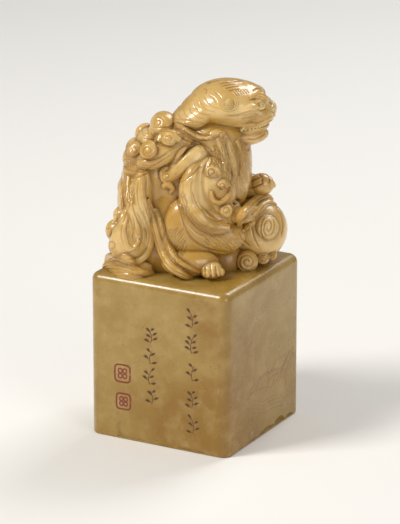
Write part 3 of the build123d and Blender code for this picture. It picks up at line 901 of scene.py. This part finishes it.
# The deep masses are made warmer as painted shade, and a pair shares its value
DEEP_MASS_SHADE = {
    "lion_trunk": 0.7, "lion_neck": 0.35, "thigh": 0.68, "hind_foot": 0.8, "hair_skirt": 0.35,
    "cape_lock": 0.3, "leg_fringe": 0.15, "haunch_lock": 0.1, "left_raised_foreleg": 0.1,
}
for name, piece in PIECES.items():
    give(piece, "stain", STAINS[name])
    # Painted shade, scaled by how much of it each piece takes
    give(piece, "painted_shade", PAINTED_SHADES[name] * SHADE.get(name, 1.0))
    # Painted shade and highlight from the patches, and painted shade on the deep masses
    give(piece, "tone_shade_and_highlight", PAINTED_SHADE_AND_HIGHLIGHT[name] + DEEP_MASS_SHADE.get(name, DEEP_MASS_SHADE.get(name.split("_", 1)[-1], 0.0)))
    give(piece, "red", np.zeros(len(STAINS[name])))
    standing = stand_on_block(corners(piece))
    set_corners(piece, standing if name in ("brocade_ball", "ball_spiral") else keep_over_block(standing))


# How often the faces of the column are divided, and how much finer they are where there are marks
PANEL_CUTS = 84
TOP_CUTS = 50
MARK_CUTS = 2
# The parts of the two near faces that carry marks, as boxes in the picture
MARKED = [(112, 362, 132, 412), (139, 326, 162, 410), (179, 308, 205, 440), (242, 345, 297, 425)]


def is_marked(face):
    """Whether a face of the column lies where there are marks."""
    if not (face.normal.y < -0.99 or face.normal.x > 0.99):
        return False
    across, down = BLOCK_SIGHT.pixels(np.array([face.calc_center_median()]))[0]
    return any(left < across < right and high < down < low for left, high, right, low in MARKED)


def make_block():
    """The square column with rounded edges, and the sunk field of its printing face."""
    pick()
    bpy.ops.mesh.primitive_cube_add(
        size=1.0,
        location=(0, 0, BLOCK_HEIGHT / 2),
        scale=(BLOCK_SIDE, BLOCK_SIDE, BLOCK_HEIGHT),
    )
    block = bpy.context.active_object
    block.name = "seal_block_carved"
    bpy.ops.object.transform_apply(location=True, rotation=True, scale=True)
    mesh = bmesh.new()
    mesh.from_mesh(block.data)

    def round_edges(edges, offset, segments):
        bmesh.ops.bevel(mesh, geom=edges, offset=offset, segments=segments, profile=0.5, affect="EDGES")

    def divide_largest(normal, cuts):
        faces = [face for face in mesh.faces if face.normal.dot(Vector(normal)) > 0.99]
        face = max(faces, key=lambda face: face.calc_area())
        bmesh.ops.subdivide_edges(mesh, edges=list(face.edges), cuts=cuts, use_grid_fill=True)

    upright = [edge for edge in mesh.edges if abs(edge.verts[0].co.z - edge.verts[1].co.z) > 1]
    round_edges(upright, COLUMN_EDGE, 10)
    top = [edge for edge in mesh.edges if min(vert.co.z for vert in edge.verts) > BLOCK_HEIGHT - 0.01]
    round_edges(top, TOP_EDGE, 7)
    foot = [edge for edge in mesh.edges if max(vert.co.z for vert in edge.verts) < 0.01]
    round_edges(foot, FOOT_EDGE, 3)
    under = [face for face in mesh.faces if face.normal.z < -0.99 and face.calc_area() > 100]
    bmesh.ops.inset_region(mesh, faces=under, thickness=BORDER - FOOT_EDGE)
    sunk = bmesh.ops.extrude_face_region(mesh, geom=under)
    sunk_corners = [item for item in sunk["geom"] if isinstance(item, bmesh.types.BMVert)]
    bmesh.ops.translate(mesh, vec=(0, 0, FIELD_DEPTH), verts=sunk_corners)
    bmesh.ops.delete(mesh, geom=under, context="FACES")
    divide_largest((0, -1, 0), PANEL_CUTS)
    divide_largest((1, 0, 0), PANEL_CUTS)
    divide_largest((0, 0, 1), TOP_CUTS)
    marked = [edge for edge in mesh.edges if any(is_marked(face) for face in edge.link_faces)]
    bmesh.ops.subdivide_edges(mesh, edges=marked, cuts=MARK_CUTS, use_grid_fill=True)
    bmesh.ops.recalc_face_normals(mesh, faces=list(mesh.faces))
    mesh.to_mesh(block.data)
    mesh.free()
    pick(block)
    bpy.ops.object.shade_smooth_by_angle(angle=math.radians(35))
    return block


def sprig(across, down, size, leaves, flip):
    """A plain leafy sprig: a bent stem with small leaves on both its sides."""

    def on_stem(share):
        return (across + flip * 1.6 * math.sin(share * math.pi * 1.2), down + size * (1 - 2 * share))

    cut([on_stem(index / 6) for index in range(7)], 0.42, 0.12, 1.4, kept=INK_CUTS)
    for index in range(leaves):
        share = (index + 0.6) / (leaves + 0.4)
        foot = on_stem(share)
        reach = (8.0 - 3.4 * share) * (flip if index % 2 else -flip)
        rise = 2.5 + 2.2 * share + 0.9 * math.sin(2.3 * index + leaves)
        tip = (foot[0] + reach, foot[1] - rise + 0.17 * reach)
        middle = (foot[0] + reach * 0.55, foot[1] - rise * 0.75 + 0.17 * reach)
        cut([foot, middle, tip], 1.25, 0.16, 1.5, kept=INK_CUTS, swell=LEAF_SWELL)


for index, down in enumerate((321, 346, 374, 401, 427)):
    sprig(191 + (index % 3), down, 9.0, (5, 7, 4, 6, 5)[index], 1 if index in (0, 3, 4) else -1)
for index, down in enumerate((337, 358, 378, 398)):
    sprig(150 + (index % 2), down, 7.5, (6, 4, 5, 4)[index], -1 if index in (1, 2) else 1)

# The faces of the column are seen at a slant
SKEW = 0.17


def red_ring(across, down, outline, width, depth, stain):
    """A closed red line from its shape round a place in the picture."""
    points = np.array([(across + x, down + y + SKEW * x) for x, y in outline])
    RED_CUTS.append((points, width, depth, stain, None, RING_SWELL))


def squared(value):
    """A sine or cosine that keeps to its ends, for a rounded square."""
    return math.copysign(abs(value) ** 0.4, value)


def blossom_mark(across, down, wide, tall):
    """A small red mark: a rounded frame round a plain four-petalled blossom."""
    angles = [2 * math.pi * index / 24 for index in range(25)]
    frame_line = [(wide * squared(math.cos(angle)), tall * squared(math.sin(angle))) for angle in angles]
    red_ring(across, down, frame_line, 0.7, 0.12, 1.6)
    for quarter in range(4):
        angle = math.pi / 2 * quarter + math.pi / 4
        shares = [index / 12 * 2 * math.pi for index in range(13)]
        petal = [(math.cos(angle) * wide * 0.42 + math.cos(share) * wide * 0.26,
                  math.sin(angle) * tall * 0.42 + math.sin(share) * tall * 0.26) for share in shares]
        red_ring(across, down, petal, 0.6, 0.1, 1.4)


blossom_mark(122.5, 373.5, 7.6, 8.6)
blossom_mark(123.5, 401.5, 7.0, 7.8)

# Reeds over ripples, and the stone's own hairlines
dice = np.random.default_rng(21)
for blade in range(15):
    foot = (244 + blade * 2.6 + dice.uniform(-1, 1), 404 - blade * 1.5 + dice.uniform(-2, 2))
    reach = dice.uniform(18, 34)
    rise = dice.uniform(16, 42)
    bend = dice.uniform(2, 9)
    top = (min(foot[0] + reach, 293), foot[1] - rise)
    middle = (foot[0] + reach * 0.35, foot[1] - rise * 0.62 - bend * 0.3)
    cut([foot, middle, top], 0.48, 0.1, dice.uniform(0.75, 1.0), kept=HAIRLINES)
for down in (401, 405, 409, 413):
    ripple = [(245, down + 5), (253, down), (262, down + 1), (272, down - 5), (284, down - 8)]
    cut(ripple, 0.42, 0.1, 0.85, kept=HAIRLINES)
for line in (
    [(116, 307), (121, 300), (124, 294)], [(119, 310), (125, 301), (129, 294)],
    [(112, 350), (116, 343), (120, 338)], [(143, 425), (155, 430), (166, 427)],
    [(150, 432), (154, 424), (157, 419)], [(141, 330), (147, 323), (153, 319)],
    [(205, 362), (212, 364), (220, 361)], [(262, 340), (266, 331), (270, 324)],
    [(277, 296), (281, 289), (285, 286)], [(255, 321), (262, 313), (267, 303)],
    [(283, 307), (287, 300), (291, 296)],
):
    cut(line, 0.5, 0.1, 0.6, kept=HAIRLINES)

# Chips along the foot of the right and the front face: place, half width, height and depth
RIGHT_CHIPS = [(2.0, 4.5, 1.6, 0.8), (9.0, 3.2, 2.2, 1.0), (14.5, 2.6, 1.2, 0.7), (-6.0, 3.0, 0.9, 0.5)]
FRONT_CHIPS = [(-3.0, 3.4, 0.8, 0.4), (8.0, 2.6, 1.0, 0.5), (13.0, 1.8, 0.8, 0.4)]
# The large flake off the front: its left and right ends, height and depth
FLAKE = (-12.2, 4.0, 9.0, 0.7)


def broken_foot(places):
    """The flake and the chips along the foot: how far each vertex is knocked back."""
    x, y, z = places[:, 0], places[:, 1], places[:, 2]
    right = x > BLOCK_SIDE / 2 - 0.3
    front = y < -BLOCK_SIDE / 2 + 0.3
    left_end, right_end, high, deep = FLAKE
    flake = front & (x > left_end + 0.25 * np.sin(z * 1.7)) & (x < right_end) & (z < high)
    fade = np.clip((right_end - x) / 14, 0, 1) * np.clip((high - z) / 7, 0, 1)
    back = np.where(flake, deep * fade, 0)
    for face, sideways, chips in ((right, y, RIGHT_CHIPS), (front, x, FRONT_CHIPS)):
        for along, reach, high, deep in chips:
            chip = np.clip(1 - np.abs((sideways - along) / reach) ** 2 - (z / high) ** 2, 0, 1) ** 0.5
            back = np.maximum(back, np.where(face, chip * deep, 0))
    return back


block = make_block()
places = corners(block)
normals = each_vertex(block, "normal")
flat = np.abs(normals).max(axis=1) > 0.9
ink_depth, ink = carve(places, normals, BLOCK_SIGHT, INK_CUTS, "seal_block")
red_depth, red = carve(places, normals, BLOCK_SIGHT, RED_CUTS, "seal_block")
line_depth, lines = carve(places, normals, BLOCK_SIGHT, HAIRLINES, "seal_block")
depth = np.where(flat, np.maximum(np.maximum(ink_depth, red_depth), line_depth), 0)
depth = depth + broken_foot(places)
set_corners(block, (places - normals * depth[:, None]) / 1000)
# The top of the column is shaded where the lion is near
near_lion = box_blur(np.minimum(TOTAL, 1), 7)
x, y, z = places[:, 0], places[:, 1], places[:, 2]
turned = np.stack([x * math.cos(LION_TURN) + y * math.sin(LION_TURN),
                   y * math.cos(LION_TURN) - x * math.sin(LION_TURN),
                   z - BLOCK_HEIGHT + 1.0], axis=1)
give(block, "stain", np.where(flat, np.maximum(ink, lines * 0.8), 0))
give(block, "painted_shade", np.where(z > BLOCK_HEIGHT - 1, np.clip(near_lion[cell_of(turned)] * 4, 0, 0.9), 0))
give(block, "tone_shade_and_highlight", tone_shade_and_highlight_of(places, BLOCK_SIGHT, BLOCK_PATCHES))
give(block, "red", np.where(flat, red, 0))
PIECES["seal_block"] = block


def add(tree, kind, **values):
    """A shader node with its settings, in the next free place of its tree."""
    node = tree.nodes.new(kind)
    row, column = divmod(len(tree.nodes), 8)
    node.location = (220 * column, -260 * row)
    for key, value in values.items():
        setattr(node, key, value)
    return node


def sum_of(tree, first, second, clamp=False):
    """Two values together."""
    node = add(tree, "ShaderNodeMath", operation="ADD", use_clamp=clamp)
    tree.links.new(first, node.inputs[0])
    tree.links.new(second, node.inputs[1])
    return node.outputs[0]


def mix_colour(tree, factor, first, second):
    """Mixes two colours by a mask."""
    node = add(tree, "ShaderNodeMix", data_type="RGBA")
    tree.links.new(factor, node.inputs["Factor"])
    for source, index in ((first, 6), (second, 7)):
        if isinstance(source, tuple):
            node.inputs[index].default_value = source
        else:
            tree.links.new(source, node.inputs[index])
    return node.outputs[2]


def scaled(tree, source, low, high, to_low=0.0, to_high=1.0):
    """Stretches a value's range."""
    node = add(tree, "ShaderNodeMapRange")
    tree.links.new(source, node.inputs["Value"])
    for label, value in (("From Min", low), ("From Max", high), ("To Min", to_low), ("To Max", to_high)):
        node.inputs[label].default_value = value
    return node.outputs["Result"]


def noise(tree, coordinates, scale, detail, roughness):
    """A cloudy pattern in the stone."""
    node = add(tree, "ShaderNodeTexNoise")
    node.inputs["Scale"].default_value = scale
    node.inputs["Detail"].default_value = detail
    node.inputs["Roughness"].default_value = roughness
    tree.links.new(coordinates, node.inputs["Vector"])
    return node


def make_stone_group():
    """Waxed soapstone: cloudy cream and honey, painted shade in the hollows, brown in the cuts."""
    group = bpy.data.node_groups.new("waxed_soapstone", "ShaderNodeTree")
    colour_kind, value_kind = "NodeSocketColor", "NodeSocketFloat"
    for label, side, kind in (
        ("Cream", "INPUT", colour_kind), ("Honey", "INPUT", colour_kind), ("Amber Shade", "INPUT", colour_kind),
        ("Honey Amount", "INPUT", value_kind), ("Cloud Size", "INPUT", value_kind),
        ("Colour", "OUTPUT", colour_kind), ("Roughness", "OUTPUT", value_kind),
        ("Height", "OUTPUT", value_kind),
    ):
        group.interface.new_socket(name=label, in_out=side, socket_type=kind)
    inputs = add(group, "NodeGroupInput").outputs
    outputs = add(group, "NodeGroupOutput").inputs
    place = add(group, "ShaderNodeTexCoord").outputs["Object"]
    stain, painted_shade, red, tone_shade_and_highlight = [
        add(group, "ShaderNodeAttribute", attribute_name=label).outputs["Fac"]
        for label in ("stain", "painted_shade", "red", "tone_shade_and_highlight")
    ]
    cloud = noise(group, place, 1.0, 3.0, 0.5)
    group.links.new(inputs["Cloud Size"], cloud.inputs["Scale"])
    tint = sum_of(group, tone_shade_and_highlight, inputs["Honey Amount"])
    # The honey mask holds the stone's cloudy tone plus the painted shade and highlight of the patches
    honey = sum_of(group, scaled(group, cloud.outputs["Fac"], 0.40, 0.60), tint, True)
    veins = noise(group, place, 260.0, 4.0, 0.6).outputs["Fac"]
    specks = noise(group, place, 900.0, 2.0, 0.5).outputs["Fac"]
    colour = inputs["Cream"]
    for mask, low, high, to_high, tone in (
        (honey, None, None, None, inputs["Honey"]),
        (veins, 0.45, 0.75, 0.35, (0.58, 0.42, 0.17, 1)),
        (specks, 0.68, 0.76, 0.5, (0.26, 0.13, 0.025, 1)),
        # Painted shade: the shade colour is mixed in where the painted shade mask is high
        (painted_shade, 0.15, 1.0, 0.65, inputs["Amber Shade"]),
        (stain, 0.05, 0.6, 0.75, (0.30, 0.140, 0.014, 1)),
        (stain, 0.55, 0.85, 0.97, (0.040, 0.017, 0.004, 1)),
        (red, 0.15, 0.7, 1.0, (0.20, 0.016, 0.005, 1)),
    ):
        if low is not None:
            mask = scaled(group, mask, low, high, 0.0, to_high)
        colour = mix_colour(group, mask, colour, tone)
    group.links.new(colour, outputs["Colour"])
    polish = scaled(group, noise(group, place, 420.0, 3.0, 0.6).outputs["Fac"], 0.3, 0.7, 0.24, 0.38)
    matt = add(group, "ShaderNodeMath", operation="MULTIPLY_ADD")
    group.links.new(painted_shade, matt.inputs[0])
    matt.inputs[1].default_value = 0.25
    group.links.new(polish, matt.inputs[2])
    group.links.new(matt.outputs[0], outputs["Roughness"])
    group.links.new(noise(group, place, 700.0, 4.0, 0.55).outputs["Fac"], outputs["Height"])
    return group


STONE = make_stone_group()


def stone_material(label, cream, honey, shade_tone, honey_amount, cloud_size, glow=0.45, coat=0.6, shine=0.08):
    """One finish of the stone: its colours, how light glows in it, and its wax."""
    material = bpy.data.materials.new(label)
    material.use_nodes = True
    tree = material.node_tree
    shader = tree.nodes["Principled BSDF"]
    group = add(tree, "ShaderNodeGroup", node_tree=STONE)
    bump = add(tree, "ShaderNodeBump")
    for node, values in (
        (group, {"Cream": cream, "Honey": honey, "Amber Shade": shade_tone, "Honey Amount": honey_amount,
                 "Cloud Size": cloud_size}),
        (bump, {"Strength": 0.12, "Distance": 0.0002}),
        (shader, {"Subsurface Weight": glow, "Subsurface Radius": (1.0, 0.55, 0.2),
                  "Subsurface Scale": 0.0022, "Coat Weight": coat, "Coat Roughness": shine, "IOR": 1.52}),
    ):
        for name, value in values.items():
            node.inputs[name].default_value = value
    tree.links.new(group.outputs["Colour"], shader.inputs["Base Color"])
    tree.links.new(group.outputs["Roughness"], shader.inputs["Roughness"])
    tree.links.new(group.outputs["Height"], bump.inputs["Height"])
    tree.links.new(bump.outputs["Normal"], shader.inputs["Normal"])
    return material


CREAM = (0.77, 0.545, 0.225, 1)
HONEY = (0.52, 0.300, 0.055, 1)
# The colour of the painted shade in the hollows
AMBER_SHADE = (0.28, 0.122, 0.008, 1)
# Each finish: cream, honey, the painted shade colour, honey amount, cloud size, and for some glow, coat and
# shine
FINISHES = {
    "block_stone": ((0.350, 0.221, 0.046, 1), (0.265, 0.134, 0.008, 1), (0.185, 0.077, 0.004, 1), 0.0, 34.0,
                    0.12, 0.35, 0.18),
    "lion_stone": (CREAM, HONEY, AMBER_SHADE, 0.1, 90.0),
    "carved_hair_stone": (CREAM, HONEY, AMBER_SHADE, 0.1, 110.0),
    "polished_stone": ((0.76, 0.56, 0.25, 1), CREAM, AMBER_SHADE, 0.0, 90.0),
    "printing_face": ((0.38, 0.08, 0.04, 1), (0.30, 0.05, 0.02, 1), (0.2, 0.03, 0.01, 1), 0.0, 200.0, 0.1,
                      0.0),
}
MATERIALS = {label: stone_material(label, *values) for label, values in FINISHES.items()}
SLOT_OF = {entry["node"]: entry["material_slot"] for entry in frame["record"]["subparts"]}
for name, piece in PIECES.items():
    piece.data.materials.clear()
    piece.data.materials.append(MATERIALS[SLOT_OF[name]])
    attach(piece, "root")
    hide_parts(name)
for name, node in frame["nodes"].items():
    if name not in PIECES:
        node.data.materials.clear()
        node.data.materials.append(MATERIALS[SLOT_OF[name]])

# The floor, the lamps and the camera
pick()
bpy.ops.mesh.primitive_plane_add(size=4.0, location=(0, 0, 0))
floor = bpy.context.active_object
floor.name = "floor"
paper = bpy.data.materials.new("pale_paper")
paper.use_nodes = True
paper.node_tree.nodes["Principled BSDF"].inputs["Base Color"].default_value = (0.86, 0.85, 0.83, 1)
paper.node_tree.nodes["Principled BSDF"].inputs["Roughness"].default_value = 0.9
floor.data.materials.append(paper)

MIDDLE = Vector((0, 0, 0.05))
for name, place, size, power, colour in (
    ("key_lamp", (-0.35, -0.45, 0.60), 0.24, 4.6, (1.0, 0.98, 0.94)),
    ("fill_lamp", (0.60, -0.30, 0.25), 0.35, 1.3, (1.0, 0.94, 0.84)),
    ("back_lamp", (0.10, 0.50, 0.60), 0.35, 2.6, (1.0, 1.0, 1.0)),
):
    light = bpy.data.lights.new(name, "AREA")
    light.shape = "SQUARE"
    light.size = size
    light.energy = power
    light.color = colour
    lamp = put_in_scene(name, light)
    lamp.location = place
    lamp.rotation_euler = (MIDDLE - Vector(place)).to_track_quat("-Z", "Y").to_euler()
world = bpy.data.worlds.new("studio")
world.use_nodes = True
world.node_tree.nodes["Background"].inputs["Color"].default_value = (0.88, 0.86, 0.82, 1)
world.node_tree.nodes["Background"].inputs["Strength"].default_value = 0.32
bpy.context.scene.world = world
bpy.context.scene.view_settings.view_transform = "Standard"

view = bpy.data.cameras.new("camera")
view.sensor_width = 36.0
view.lens = FOCAL / PICTURE[1] * view.sensor_width
view.clip_start = 0.05
view.clip_end = 10.0
camera = put_in_scene("camera", view)
camera.location = Vector(BLOCK_SIGHT.eye) / 1000
camera.rotation_euler = Vector(BLOCK_SIGHT.back).to_track_quat("Z", "Y").to_euler()
bpy.context.scene.camera = camera
